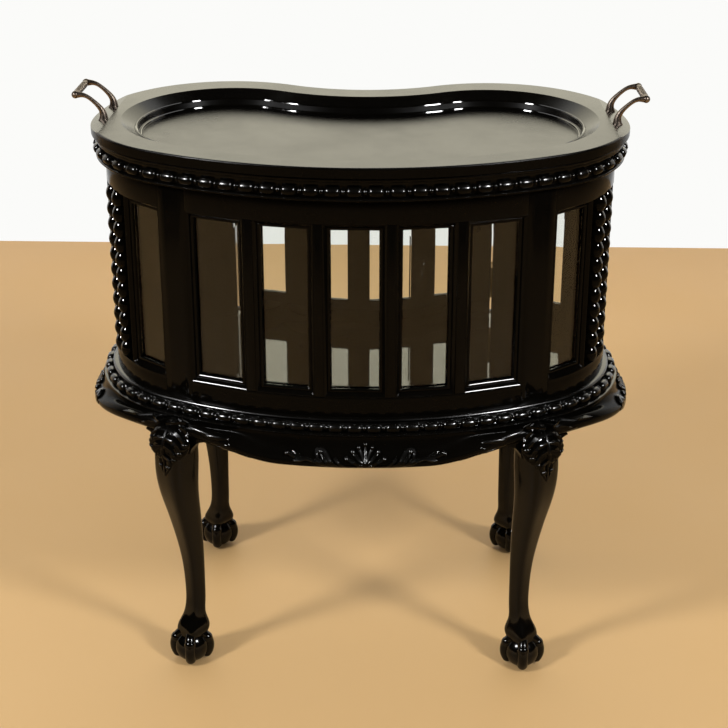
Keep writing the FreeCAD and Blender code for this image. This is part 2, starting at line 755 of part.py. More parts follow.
def door_knob():
    """Turned knob with a base rosette."""
    base, outward = knob_frame()
    profile = [(0, -6.0), (2.2, -6.0), (2.2, 0.4), (6.0, 0.4), (6.0, 1.6), (3.0, 3.0),
               (2.6, 8.0), (5.0, 10.0), (7.0, 13.5), (6.4, 17.0), (4.0, 19.5), (0, 20.5)]
    return turned(profile, base, outward)


def catch_frame():
    s = -(HALF_LENGTH - 150.0)
    x, y, nx, ny = outline_point(s)
    return vec(x, y, 0), vec(nx, ny, 0)


def catch_block(near, far, half_width, bottom, top):
    """Block square to the door at the catch, between two depths behind the outer face."""
    base, outward = catch_frame()
    block = Part.makeBox(far - near, 2 * half_width, top - bottom, vec(-far, -half_width, bottom))
    block.rotate(vec(0, 0, 0), UP, math.degrees(math.atan2(outward.y, outward.x)))
    block.translate(base)
    return block


# Tray and handles


def in_well(shape):
    """Shape drawn on the well's own outline, moved to the well's place."""
    shape.translate(vec(0, WELL_SHIFT_Y, 0))
    return shape


def tray_rim():
    """Flat rim with a sloped, beaded inside and a rebate for the panel underneath."""
    outer = [(-6.0, TOP_BOARD_TOP), (-6.0, TRAY_EDGE_BOTTOM), (TRAY_OUT, TRAY_EDGE_BOTTOM)]
    outer += rounded(TRAY_OUT - 2.5, TRAY_TOP - 2.5, 2.5, 0, 90, 4)
    outer += [(-60.0, TRAY_TOP), (-60.0, TOP_BOARD_TOP)]
    inner = [(0, TOP_BOARD_TOP), (0, TRAY_TOP), (-18.0, 751.5), (-20.0, 752.4), (-22.0, 751.2)]
    inner += [(-24.0, 744.5), (-28.0, TRAY_FLOOR), (-28.0, TRAY_FLOOR - 4.0)]
    inner += [(-16.0, TRAY_FLOOR - 4.0), (-16.0, TOP_BOARD_TOP)]
    flat = wall_line.ring(outer).cut(in_well(well_line.slab(0, TOP_BOARD_TOP - 5.0, TRAY_TOP + 5.0)))
    ring = fused([flat, in_well(well_line.ring(inner))])
    facet = facet_cut()
    ring = ring.cut(facet).cut(mirrored(facet))
    for screw in handle_screws():
        ring = ring.cut(screw)
    return ring


def tray_panel():
    """Floor of the tray, with a tongue under the rim."""
    floor = well_line.slab(-28.2, TRAY_FLOOR - 4.0, TRAY_FLOOR)
    tongue = well_line.slab(-16.0, TRAY_FLOOR - 10.0, TRAY_FLOOR - 4.0)
    return in_well(fused([floor, tongue]))


def turned_handle(shape):
    """Turn what stands at the right end of the tray to the way the handle faces."""
    shape.rotate(vec(HANDLE_FOOT_X, HANDLE_Y, 0), UP, HANDLE_TURN)
    return shape


def facet_wedge(first, depth, height):
    """Block over the facet's slope (height above the tray) or under it (height below)."""
    slope = FACET_DROP / (HALF_WIDTH + TRAY_OUT - FACET_X)
    far = 400.0
    near_z = TRAY_TOP - slope * (first - FACET_X)
    far_z = TRAY_TOP - slope * (far - FACET_X)
    corners = [vec(first, 0, near_z), vec(first, 0, height), vec(far, 0, height), vec(far, 0, far_z)]
    wedge = Part.Face(Part.makePolygon(corners + [corners[0]])).extrude(vec(0, depth, 0))
    wedge.translate(vec(0, HANDLE_Y - depth / 2, 0))
    return wedge


def facet_cut():
    """Wedge that slopes the tray rim down under a handle."""
    return turned_handle(facet_wedge(FACET_X, 300.0, TRAY_TOP + 20.0))


def handle_arm(y):
    """Cast arm that rises from its flared foot and leans out to the grip."""
    wires = []
    for i, (x, z, radius) in enumerate(ARM_SECTIONS):
        before = ARM_SECTIONS[max(i - 1, 0)]
        after = ARM_SECTIONS[min(i + 1, len(ARM_SECTIONS) - 1)]
        along = vec(after[0] - before[0], 0, after[1] - before[1])
        wires.append(Part.Wire(Part.makeCircle(radius, vec(x, y, z), along)))
    return Part.makeLoft(wires, True, False)


def handle():
    """Cast handle for the right end of the tray: two arms and a grip with ball ends."""
    arms = (HANDLE_Y - HANDLE_HALF_SPACING, HANDLE_Y + HANDLE_HALF_SPACING)
    length = 2 * HANDLE_HALF_SPACING
    pieces = [Part.makeCylinder(GRIP_RADIUS, length, vec(GRIP_X, arms[0], GRIP_Z), vec(0, 1, 0))]
    for y in arms:
        pieces += [handle_arm(y), Part.makeSphere(GRIP_BALL, vec(GRIP_X, y, GRIP_Z))]
    whole = pieces[0].multiFuse(pieces[1:])
    whole = turned_handle(whole.cut(facet_wedge(FACET_X - 20.0, 180.0, TRAY_TOP - 30.0)))
    for screw in handle_screws():
        whole = whole.cut(screw)
    return whole


def handle_screws():
    """Machine screws up through the tray rim into the handle feet, both ends."""
    screws = []
    for y in (HANDLE_Y - HANDLE_HALF_SPACING, HANDLE_Y + HANDLE_HALF_SPACING):
        shaft = Part.makeCylinder(1.8, 14.0, vec(HANDLE_FOOT_X, y, TRAY_EDGE_BOTTOM + 0.5))
        head = Part.makeCylinder(3.6, 2.2, vec(HANDLE_FOOT_X, y, TRAY_EDGE_BOTTOM))
        screw = turned_handle(shaft.fuse(head).removeSplitter())
        screws += [screw, mirrored(screw)]
    return screws


# Write every node


def write(node, shape):
    shape.exportStep("parts/" + node + ".step")


def both_sides(node, right):
    write(node + "_right", right)
    write(node + "_left", mirrored(right))


def write_base():
    legs = [(LEG_FRONT_S, True), (LEG_BACK_S, False)]
    pockets = []
    blocks = []
    bolts = []
    for s, front in legs:
        bolt = leg_bolt(s, front)
        block = leg_block(*leg_frame(s, front))
        pockets += [block, mirrored(block)]
        blocks += [corner_block(s, front).cut(bolt)]
        bolts += [bolt]
        both_sides("leg_front" if front else "leg_back", leg(s, front).cut(bolt))
    write("corner_blocks", group(blocks + [mirrored(b) for b in blocks]))
    write("leg_bolts", group(bolts + [mirrored(b) for b in bolts]))
    cutters = pockets + blocks + [mirrored(b) for b in blocks]

    def housed(piece):
        for cutter in cutters:
            piece = piece.cut(cutter)
        return piece

    end_middle = (LEG_FRONT_S + LEG_BACK_S) / 2
    front = housed(apron(-LEG_FRONT_S, LEG_FRONT_S, 0.0, FRONT_EDGE, 24))
    right = housed(apron(LEG_FRONT_S, LEG_BACK_S, end_middle, END_EDGE, 24))
    back = housed(back_apron())
    write("apron_front", front)
    both_sides("apron", right)
    write("apron_back", back)
    front_bosses = apron_carving(FRONT_CARVING_S, FRONT_EDGE[0], FRONT_CARVED_OUT, True)
    end_bosses = apron_carving(end_middle, END_EDGE[0], END_CARVED_OUT, False)
    front_carving = [proud_of(piece, [front]) for piece in front_bosses]
    end_carving = [proud_of(piece, [right]) for piece in end_bosses]
    end_carving += [mirrored(piece) for piece in end_carving]
    write("apron_carvings", group(front_carving + end_carving))
    write_knees([front, right, back], legs)
    write("base_board", base_board())
    write("base_bead", base_bead())


def write_knees(aprons, legs):
    brackets = []
    leaves = []
    for s, front in legs:
        pair = [knee_bracket(s, front, -1), knee_bracket(s, front, 1)]
        leaf = proud_of(knee_leaf(s), [leg(s, front)] + aprons + pair)
        brackets += pair + [mirrored(bracket) for bracket in pair]
        leaves += [leaf, mirrored(leaf)]
    write("knee_brackets", group(brackets))
    write("knee_carvings", group(leaves))


def write_cabinet():
    write("front_rail_bottom", front_rail(FLOOR_TOP, SASH_BOTTOM))
    write("front_rail_top", front_rail(SASH_TOP, WALL_TOP))
    write("front_stiles", front_stiles())
    both_sides("front_post", front_post())
    both_sides("end_rail_bottom", end_rail(FLOOR_TOP, SASH_BOTTOM))
    both_sides("end_rail_top", end_rail(SASH_TOP, WALL_TOP))
    both_sides("end_stiles", end_stiles())
    both_sides("pilasters", pilasters())
    write("back_post_right", hinge_post())
    write("back_post_left", mirrored(back_post()))
    write("top_board", top_board())
    write("top_moulding", top_moulding())
    for name, windows in (("front", front_windows), ("right", right_windows), ("left", left_windows)):
        write(name + "_sashes", group([w.sash() for w in windows]))
        write(name + "_panes", group([w.pane() for w in windows]))
    fixed_windows = front_windows + right_windows + left_windows
    write("glazing_beads", group([w.bead() for w in fixed_windows]))


def write_door():
    write("door_rail_bottom", door_rail(DOOR_BOTTOM, SASH_BOTTOM))
    strike = catch_block(WALL - 0.5, WALL + 1.0, 16.0, DOOR_TOP - 14.0, DOOR_TOP - 3.0)
    write("door_strike", strike)
    write("door_rail_top", door_rail(SASH_TOP, DOOR_TOP).cut(strike))
    stiles = sorted(door_stiles(), key=lambda piece: piece.CenterOfMass.x)
    knob = door_knob()
    write("door_latch_stile", stiles[0].cut(knob))
    write("door_stiles", group(stiles[1:-1]))
    write("door_hinge_stile", stiles[-1])
    write("door_sashes", group([w.sash() for w in door_windows]))
    write("door_glazing_beads", group([w.bead() for w in door_windows]))
    write("door_panes", group([w.pane() for w in door_windows]))
    write("door_knob", knob)
    write("hinge_case_leaves", group([hinge_leaf(z, 1.0) for z in HINGE_HEIGHTS]))
    write("hinge_door_leaves", group([hinge_leaf(z, -1.0) for z in HINGE_HEIGHTS]))
    write("hinge_pins", group([hinge_pin(z) for z in HINGE_HEIGHTS]))
    write("hinge_case_screws", group(hinge_screws(1.0)))
    write("hinge_door_screws", group(hinge_screws(-1.0)))
    write("door_catch", catch_block(WALL + 2.0, WALL + 14.0, 22.0, WALL_TOP - 14.0, WALL_TOP))


def write_tray():
    write("tray_rim", tray_rim())
    write("tray_panel", tray_panel())
    both_sides("tray_handle", handle())
    write("handle_screws", group(handle_screws()))


os.makedirs("parts", exist_ok=True)
write_base()
write_cabinet()
write_door()
write_tray()
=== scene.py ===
import json
import math

import bpy
from mathutils import Matrix, Vector


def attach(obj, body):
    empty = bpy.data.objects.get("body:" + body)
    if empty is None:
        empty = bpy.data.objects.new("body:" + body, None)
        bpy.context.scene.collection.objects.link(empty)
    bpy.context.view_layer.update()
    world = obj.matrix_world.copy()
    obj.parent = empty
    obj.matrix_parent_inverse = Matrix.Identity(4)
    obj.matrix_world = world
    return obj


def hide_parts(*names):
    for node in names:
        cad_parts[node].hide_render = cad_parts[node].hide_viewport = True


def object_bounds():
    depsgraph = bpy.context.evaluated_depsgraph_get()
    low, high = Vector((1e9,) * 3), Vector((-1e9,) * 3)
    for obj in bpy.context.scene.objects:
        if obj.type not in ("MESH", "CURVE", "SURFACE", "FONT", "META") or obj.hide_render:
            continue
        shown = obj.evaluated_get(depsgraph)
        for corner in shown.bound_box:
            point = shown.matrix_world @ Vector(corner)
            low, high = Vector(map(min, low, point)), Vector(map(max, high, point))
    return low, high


# Looks of the kidney-shaped dumbwaiter table: black lacquer, bevelled glass and cast handles.
# Lengths below are millimetres until MM turns them to metres.
MM = 0.001

# Plan outlines of the glazed wall and of the tray's well: half width, half depth, end radius, back hollow.
WALL_LINE = (347.0, 188.0, 165.0, 145.6)
WELL_LINE = (323.0, 169.5, 145.0, 127.1)
WELL_SHIFT_Y = -3.5

# Bead strings: long beads and pearls in turn, each string with its distance out, height and pitch.
BEAD_LENGTH = 20.6
BEAD_RADIUS = 7.0
BEAD_ROUNDING = 5.4
PEARL_RADIUS = 3.8
TOP_STRING = (8.8, 728.5, 27.0)
BASE_STRING = (11.5, 401.8, 25.0)
RING_STEPS = 260

# Sections of the two mouldings, as distance out from the wall and height.
TOP_SECTION = [
    (-4.0, 716.0), (11.2, 716.0), (12.2, 717.0), (12.2, 718.6), (11.0, 719.8), (7.0, 720.8), (5.5, 728.5),
    (7.0, 736.6), (10.5, 737.6), (11.6, 739.4), (11.4, 741.8), (12.8, 743.6), (12.8, 746.0), (12.0, 747.0),
    (-4.0, 747.0),
]
BASE_SECTION = [
    (-2.0, 393.0), (19.8, 393.0), (20.8, 394.0), (20.4, 395.2), (18.0, 396.0), (11.0, 396.4), (7.5, 401.5),
    (5.4, 407.0), (6.8, 408.4), (7.4, 410.2), (6.8, 411.6), (5.4, 412.6), (-2.0, 412.9), (-2.0, 411.0),
]

# Thin beads on the slope of the tray's well: distance from the well's edge and height.
WELL_BEADS = [(-20.0, 751.2), (-26.0, 742.6)]
WELL_BEAD_RADIUS = 1.8
WELL_BEAD_SIDES = 8

# Where the carvings of the aprons lie: distance along the wall, height of their foot, scale and relief.
# Those at the ends are cut flush: they stay within a distance out from the wall.
FRONT_CARVING_S = 14.0
FRONT_CARVING_Z = 352.5
FRONT_CARVING_SCALE = 0.95
END_CARVING_S = 448.8
END_CARVING_Z = 350.0
END_CARVING_OUT = 36.8
APRON_STRETCH = 30.0
APRON_PROUD = 1.2

# Where the carved knees lie: on a cylinder round the top of each leg.
LEG_FRONT_S = 241.0
LEG_FRONT_OUT = 4.0
LEG_BACK_S = 656.0
LEG_BACK_OUT = -2.0
LEG_TURN = 58.0
KNEE_OUT = 14.0
KNEE_Z = 356.0
KNEE_RADIUS = 30.0
FRONT_KNEE_PROUD = 0.8
KNEE_GROUNDS = ("knee_carvings", "knee_brackets", "apron_right")

# How carvings are laid on: rays come in from outside, or from a little higher where they miss the wood,
# and the relief leans upward.
RAY_START = 90.0
RAY_LENGTH = 200.0
RAY_MISSED = 60.0
EDGE_SEARCH = 20
RELIEF_TILT = 25.0

# Carved stems are full in their middle and narrower at both ends.
STEM_END = 0.6
STEM_SWELL = 1.6

# Cartouche of an apron, drawn flat as (across, up) points of its right half.
# Its stems have a radius and a lift off the wood, and its knobs a radius.
SHELL_RIBS = [[(1, 10), (5, 18), (9, 26)], [(3, 8), (11, 15), (17, 21.5)], [(5, 6), (15, 9), (25, 15)]]
SHELL_MIDDLE = [(0, 8), (0, 20), (0, 31)]
SHELL_CURL = [(3, 4), (9, 3), (11, 7), (7.5, 9), (6, 6.5)]
SHELL_TOP = (0.0, 30.0, 0.0)
SHELL_BASE = (6.5, 5.0, 0.0)
SCROLL_CURL = (60.0, 21.0, 0.8)
SCROLL_STEM = [(12, 3), (26, 3.5), (42, 3.5), (56, 6), (68, 11), (76, 13)]
SCROLL_LEAVES = [
    [(34, 4), (44, 8), (51, 17), (57, 24), (64, 23), (66, 17), (62, 15)],
    [(40, 4), (48, 7), (54, 14), (59, 19)], [(47, 4.5), (55, 7), (61, 12), (66, 14)],
    [(28, 4), (35, 8), (41, 15)],
]
SCROLL_TAIL = [[(66, 11), (80, 14), (92, 14.5), (105, 18)], [(84, 14), (91, 18), (97, 20)],
               [(78, 13), (86, 10.5), (95, 10)]]
TAIL_LIFT = 1.0
SHELL_STEM = (3.4, 0.0)
CURL_STEM = (2.6, 0.2)
SCROLL_STEM_SIZE = (3.0, 0.3)
LEAF_STEM = (3.4, 0.9)
TAIL_STEM = (2.8, 1.5)
CARVED_KNOB = 3.6
BASE_KNOB = 3.5
TAIL_KNOB = 3.4

# Thin bead along the lower edge of the front apron.
EDGE_BEAD = [(0, 1.5), (50, 1.5), (95, 1.5), (125, 4.5), (155, 10.5), (185, 16.5), (212, 20)]
EDGE_BEAD_RADIUS = 1.8

# Leaf of a knee, drawn flat in the same way, with the radii of its stems and knobs.
KNEE_RIB = [(0, 36), (0, 12), (0, -12), (0, -40)]
KNEE_LOBES = [
    [(1, 33), (15, 35), (29, 29), (33, 20)], [(1, 25), (13, 25), (25, 18), (27, 9)],
    [(1, 15), (11, 14), (21, 6), (21, -3)], [(1, 4), (9, 2), (15, -7), (14, -15)],
    [(1, -8), (5, -12), (9, -19), (6, -27)],
]
KNEE_WING = [(6, 39), (22, 42), (38, 36), (45, 25)]
KNEE_TIP = [(13, -16), (8, -28), (0, -41)]
KNEE_DROP = (49.0, 17.0, 0.0)
RIB_STEM = 3.0
TIP_STEM = 2.0
LOBE_STEM = 4.2
LOBE_KNOB = 4.0
WING_STEM = 3.2
WING_KNOB = 3.4
DROP_KNOB = 3.0

# Round on the worn edges of rails, stiles and sashes.
EDGE_ROUND = 1.0

# Cast grip of a handle: rings with rounded edges along the middle of its bar.
HANDLE_FOOT_X = 344.6
HANDLE_Y = 40.0
HANDLE_TURN = 3.0
GRIP_X = 381.0
GRIP_Z = 793.0
RIB_RADIUS = 4.9
RIB_WIDTH = 3.0
RIB_ROUND = 0.9
RIB_PITCH = 4.4
RIB_COUNT = 9

# Camera, from the perspective of the photograph.
CAMERA_PLACE = (71.5, -2196.0, 1401.5)
CAMERA_PITCH = 24.4
CAMERA_TURN = 1.7
CAMERA_LENS = 83.5

# Floor and wall behind; the wall mirrors as white up to a distance from its middle.
FLOOR_SIZE = 16000.0
WALL_Y = 1580.0
WALL_WIDTH = 14000.0
WALL_HEIGHT = 2600.0
WALL_MIDDLE = 1800.0
FLOOR_COLOUR = "#D6AF79"
WALL_COLOUR = "#FBFBF9"
FILL_LIGHT = 0.35

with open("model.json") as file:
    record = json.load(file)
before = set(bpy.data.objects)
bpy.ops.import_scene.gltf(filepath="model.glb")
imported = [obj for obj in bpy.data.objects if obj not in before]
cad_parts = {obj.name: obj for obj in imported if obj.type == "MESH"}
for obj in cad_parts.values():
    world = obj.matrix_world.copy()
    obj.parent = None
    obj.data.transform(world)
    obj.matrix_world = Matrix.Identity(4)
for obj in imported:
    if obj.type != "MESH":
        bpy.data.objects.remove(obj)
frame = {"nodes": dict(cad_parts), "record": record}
cad_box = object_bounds()
nodes = frame["nodes"]
slot_of = {row["node"]: row["material_slot"] for row in frame["record"]["subparts"]}


class Kidney:
    """Kidney outline of tangent arcs, measured along from the front centre; the right side is positive."""

    def __init__(self, half_width, half_depth, end_radius, hollow_y):
        self.end_radius = end_radius
        self.end = Vector((half_width - end_radius, half_depth - end_radius, 0))
        self.front_y = self.arc_middle(end_radius - half_depth)
        self.back_y = self.arc_middle(hollow_y - end_radius)
        self.front_radius = self.front_y + half_depth
        self.back_radius = self.back_y - hollow_y
        front_angle = math.atan2(self.end.x, self.front_y - self.end.y)
        back_angle = math.atan2(self.end.x, self.back_y - self.end.y)
        self.end_start = front_angle - math.pi / 2
        self.front_length = self.front_radius * front_angle
        self.end_length = end_radius * (math.pi / 2 + back_angle - self.end_start)
        self.half_length = self.front_length + self.end_length + self.back_radius * back_angle

    def arc_middle(self, gap):
        """Y of the middle of the front or back arc, which is tangent to the end arc."""
        return (gap ** 2 - self.end.x ** 2 - self.end.y ** 2) / (2 * gap - 2 * self.end.y)

    def point(self, s):
        """Point and outward normal at a distance along the outline."""
        side = 1.0 if s >= 0 else -1.0
        run = abs(s)
        if run <= self.front_length:
            angle = run / self.front_radius - math.pi / 2
            normal = Vector((math.cos(angle), math.sin(angle), 0))
            point = Vector((0, self.front_y, 0)) + self.front_radius * normal
        elif run <= self.front_length + self.end_length:
            angle = self.end_start + (run - self.front_length) / self.end_radius
            normal = Vector((math.cos(angle), math.sin(angle), 0))
            point = self.end + self.end_radius * normal
        else:
            angle = (self.half_length - run) / self.back_radius - math.pi / 2
            normal = Vector((-math.cos(angle), -math.sin(angle), 0))
            point = Vector((0, self.back_y, 0)) - self.back_radius * normal
        return Vector((side * point.x, point.y, 0)), Vector((side * normal.x, normal.y, 0))


wall_line = Kidney(*WALL_LINE)
well_line = Kidney(*WELL_LINE)


# Small helpers for modelling


def pick_only(obj):
    """Select one object and make it the active one."""
    bpy.ops.object.select_all(action="DESELECT")
    obj.select_set(True)
    bpy.context.view_layer.objects.active = obj


def apply_place(obj):
    """Put an object's place, turn and size into its mesh."""
    pick_only(obj)
    bpy.ops.object.transform_apply(location=True, rotation=True, scale=True)


def apply_modifier(obj, kind, **settings):
    """Add a modifier with its settings and put its result into the mesh."""
    pick_only(obj)
    modifier = obj.modifiers.new(kind.title(), kind)
    for name, value in settings.items():
        setattr(modifier, name, value)
    bpy.ops.object.modifier_apply(modifier=modifier.name)


def close_mesh(obj):
    """Merge doubled points and point every face outward."""
    pick_only(obj)
    bpy.ops.object.mode_set(mode="EDIT")
    bpy.ops.mesh.select_all(action="SELECT")
    bpy.ops.mesh.remove_doubles(threshold=0.002 * MM)
    bpy.ops.mesh.normals_make_consistent(inside=False)
    bpy.ops.object.mode_set(mode="OBJECT")


def smooth(obj, angle):
    """Shade smooth over edges that turn by less than an angle in degrees."""
    pick_only(obj)
    bpy.ops.object.shade_smooth_by_angle(angle=math.radians(angle))


def joined(pieces, name):
    """Several objects as one, under a new name."""
    bpy.ops.object.select_all(action="DESELECT")
    for piece in pieces:
        piece.select_set(True)
    bpy.context.view_layer.objects.active = pieces[0]
    bpy.ops.object.join()
    pieces[0].name = name
    return pieces[0]


def copy_of(obj, place):
    """Copy with its own mesh, moved by a matrix."""
    twin = obj.copy()
    twin.data = obj.data.copy()
    twin.matrix_world = place
    bpy.context.scene.collection.objects.link(twin)
    return twin


def with_twin(piece):
    """Piece of the right side with its mirror image on the left."""
    apply_modifier(piece, "MIRROR", use_axis=(True, False, False), use_mirror_merge=False)
    close_mesh(piece)
    return piece


def finish_piece(obj, name, material, body):
    """Name a finished piece, give it its material and hang it on its body."""
    obj.name = name
    obj.data.materials.clear()
    obj.data.materials.append(material)
    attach(obj, body)


# Mouldings and bead strings


def curve_through(name, points, closed):
    """Curve object made of straight runs through points in millimetres."""
    data = bpy.data.curves.new(name, "CURVE")
    line = data.splines.new("POLY")
    line.points.add(len(points) - 1)
    for knot, place in zip(line.points, points):
        knot.co = (*(Vector(place) * MM), 1.0)
    line.use_cyclic_u = closed
    obj = bpy.data.objects.new(name, data)
    bpy.context.scene.collection.objects.link(obj)
    return obj


def as_mesh(obj):
    """Turn a curve object into a mesh with its faces outward."""
    pick_only(obj)
    bpy.ops.object.convert(target="MESH")
    close_mesh(obj)
    return obj


def swept_ring(name, line, section):
    """Moulding right round an outline: its section of (out, height) points swept along it."""
    runs = [line.half_length * (2 * i / RING_STEPS - 1) for i in range(RING_STEPS)]
    path = curve_through(name, [line.point(s)[0] for s in runs], True)
    profile = curve_through(name + "_section", [(out, height, 0) for out, height in section], True)
    profile.data.dimensions = "2D"
    path.data.dimensions = "3D"
    path.data.twist_mode = "Z_UP"
    path.data.bevel_mode = "OBJECT"
    path.data.bevel_object = profile
    ring = as_mesh(path)
    bpy.data.objects.remove(profile)
    smooth(ring, 40)
    return ring


def long_bead():
    """Barrel with rounded ends, lying along X."""
    bpy.ops.object.select_all(action="DESELECT")
    bpy.ops.mesh.primitive_cylinder_add(vertices=10, radius=BEAD_RADIUS * MM, depth=BEAD_LENGTH * MM,
                                        rotation=(0, math.pi / 2, 0))
    bead = bpy.context.object
    apply_place(bead)
    apply_modifier(bead, "BEVEL", width=BEAD_ROUNDING * MM, segments=3, limit_method="ANGLE",
                   angle_limit=math.radians(60))
    smooth(bead, 80)
    return bead


def pearl(radius, place=(0, 0, 0)):
    """Small round bead or carved knob."""
    bpy.ops.object.select_all(action="DESELECT")
    bpy.ops.mesh.primitive_uv_sphere_add(segments=8, ring_count=6, radius=radius * MM,
                                         location=Vector(place) * MM)
    ball = bpy.context.object
    apply_place(ball)
    smooth(ball, 80)
    return ball


def bead_string(out, z, pitch):
    """Long beads and pearls in turn right round the cabinet."""
    models = [long_bead(), pearl(PEARL_RADIUS)]
    count = round(2 * wall_line.half_length / pitch)
    pieces = []
    for i in range(2 * count):
        point, normal = wall_line.point(wall_line.half_length * (i / count - 1))
        place = (point + normal * out + Vector((0, 0, z))) * MM
        turn = math.atan2(normal.y, normal.x) + math.pi / 2
        pieces.append(copy_of(models[i % 2], Matrix.Translation(place) @ Matrix.Rotation(turn, 4, "Z")))
    for model in models:
        bpy.data.objects.remove(model)
    string = joined(pieces, "beads")
    apply_place(string)
    return string


def build_mouldings():
    """Both carved mouldings, each a plain ring with its bead string."""
    for node, section, string in (("top_moulding", TOP_SECTION, TOP_STRING),
                                  ("base_bead", BASE_SECTION, BASE_STRING)):
        ring = joined([swept_ring(node + "_ring", wall_line, section), bead_string(*string)], node)
        finish_piece(ring, node + "_beaded", lacquer_carved, "table")
        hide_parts(node)


def build_well_beads():
    """Two thin round beads that run along the slope of the tray's well."""
    rings = []
    for out, height in WELL_BEADS:
        turns = [2 * math.pi * i / WELL_BEAD_SIDES for i in range(WELL_BEAD_SIDES)]
        section = [(out + WELL_BEAD_RADIUS * math.cos(turn), height + WELL_BEAD_RADIUS * math.sin(turn))
                   for turn in turns]
        rings.append(swept_ring("well_bead", well_line, section))
    beads = joined(rings, "well_beads")
    beads.location = (0, WELL_SHIFT_Y * MM, 0)
    apply_place(beads)
    smooth(beads, 80)
    finish_piece(beads, "well_beads", lacquer_polished, "tray")


# Carvings


def strand(points, radius, lift=0.0):
    """Carved stem through (across, up) points, lifted off: full in its middle, narrower to the ends."""
    data = bpy.data.curves.new("strand", "CURVE")
    data.dimensions = "3D"
    data.resolution_u = 4
    data.bevel_depth = radius * MM
    data.bevel_resolution = 1
    data.use_fill_caps = True
    line = data.splines.new("NURBS")
    line.points.add(len(points) - 1)
    for i, (across, up) in enumerate(points):
        share = i / (len(points) - 1)
        line.points[i].co = (across * MM, up * MM, lift * MM, 1.0)
        line.points[i].radius = STEM_END + STEM_SWELL * share * (1 - share)
    line.order_u = 3
    line.use_endpoint_u = True
    obj = bpy.data.objects.new("strand", data)
    bpy.context.scene.collection.objects.link(obj)
    as_mesh(obj)
    smooth(obj, 60)
    return obj


def mirrored_flat(pieces, name):
    """Join flat pieces of the right half and mirror them to the left."""
    return with_twin(joined(pieces, name))


def flat_cartouche(tails):
    """Shell between two leafy scrolls, drawn flat."""
    pieces = [strand(SHELL_MIDDLE, *SHELL_STEM), pearl(CARVED_KNOB, SHELL_TOP)]
    pieces += [strand(SHELL_CURL, *CURL_STEM), pearl(BASE_KNOB, SHELL_BASE)]
    for rib in SHELL_RIBS:
        pieces += [strand(rib, *SHELL_STEM), pearl(CARVED_KNOB, (*rib[-1], 0))]
    pieces.append(strand(SCROLL_STEM, *SCROLL_STEM_SIZE))
    pieces += [strand(leaf, *LEAF_STEM) for leaf in SCROLL_LEAVES]
    pieces.append(pearl(CARVED_KNOB, SCROLL_CURL))
    if tails:
        pieces += [strand(leaf, *TAIL_STEM) for leaf in SCROLL_TAIL]
        pieces.append(pearl(TAIL_KNOB, (*SCROLL_TAIL[0][-1], TAIL_LIFT)))
    return mirrored_flat(pieces, "cartouche")


def flat_knee():
    """Acanthus leaf of a knee, drawn flat: ribbed middle, curling lobes and wings along the aprons."""
    pieces = [strand(KNEE_RIB, RIB_STEM), strand(KNEE_TIP, TIP_STEM)]
    for lobe in KNEE_LOBES:
        pieces += [strand(lobe, LOBE_STEM), pearl(LOBE_KNOB, (*lobe[-1], 0))]
    pieces += [strand(KNEE_WING, WING_STEM), pearl(WING_KNOB, (*KNEE_WING[-1], 0))]
    pieces.append(pearl(DROP_KNOB, KNEE_DROP))
    return mirrored_flat(pieces, "knee_leaf")


def lay_on(piece, carrier, base_z, grounds, proud, farthest=RAY_START):
    """Lay a flat carving on wood: each point goes in along its carrier's ray until it meets a ground.

    The middle of its stems stands proud of the wood by a distance. Nothing goes farther out than is given,
    or leaves the box of the solids.
    """
    tilt = math.radians(RELIEF_TILT)
    for vertex in piece.data.vertices:
        across, up, lift = vertex.co / MM
        start, outward = carrier(across)
        rise = outward * math.cos(tilt) + Vector((0, 0, math.sin(tilt)))
        origin = start + outward * RAY_START + Vector((0, 0, base_z + up))
        reach = ground_reach(origin, outward, grounds)
        height = min(lift + proud, farthest - RAY_START + reach)
        place = (origin - outward * reach + rise * height) * MM
        vertex.co = [min(max(value, low), high) for value, low, high in zip(place, *cad_box)]
    close_mesh(piece)
    smooth(piece, 60)
    return piece


def ground_reach(origin, outward, grounds):
    """Distance from a point inward to the nearest ground, or to the ground's edge just above it."""
    for step in range(EDGE_SEARCH):
        start = (origin + Vector((0, 0, step))) * MM
        hits = [ground.ray_cast(start, -outward, distance=RAY_LENGTH * MM) for ground in grounds]
        distances = [(place - start).length / MM for hit, place, _, _ in hits if hit]
        if distances:
            return min(distances)
    return RAY_MISSED


def along_apron(middle, scale):
    """Carrier for an apron carving, around one place of the wall outline."""
    return lambda across: wall_line.point(middle + across * scale)


def around_knee(s, out, turn):
    """Carrier for a knee carving: a cylinder round the knee of a right-hand leg."""
    point, normal = wall_line.point(s)
    facing = math.radians(turn)
    axis = point + normal * out + Vector((math.cos(facing), math.sin(facing), 0)) * KNEE_OUT

    def carrier(across):
        angle = facing + across / KNEE_RADIUS
        return axis, Vector((math.cos(angle), math.sin(angle), 0))

    return carrier


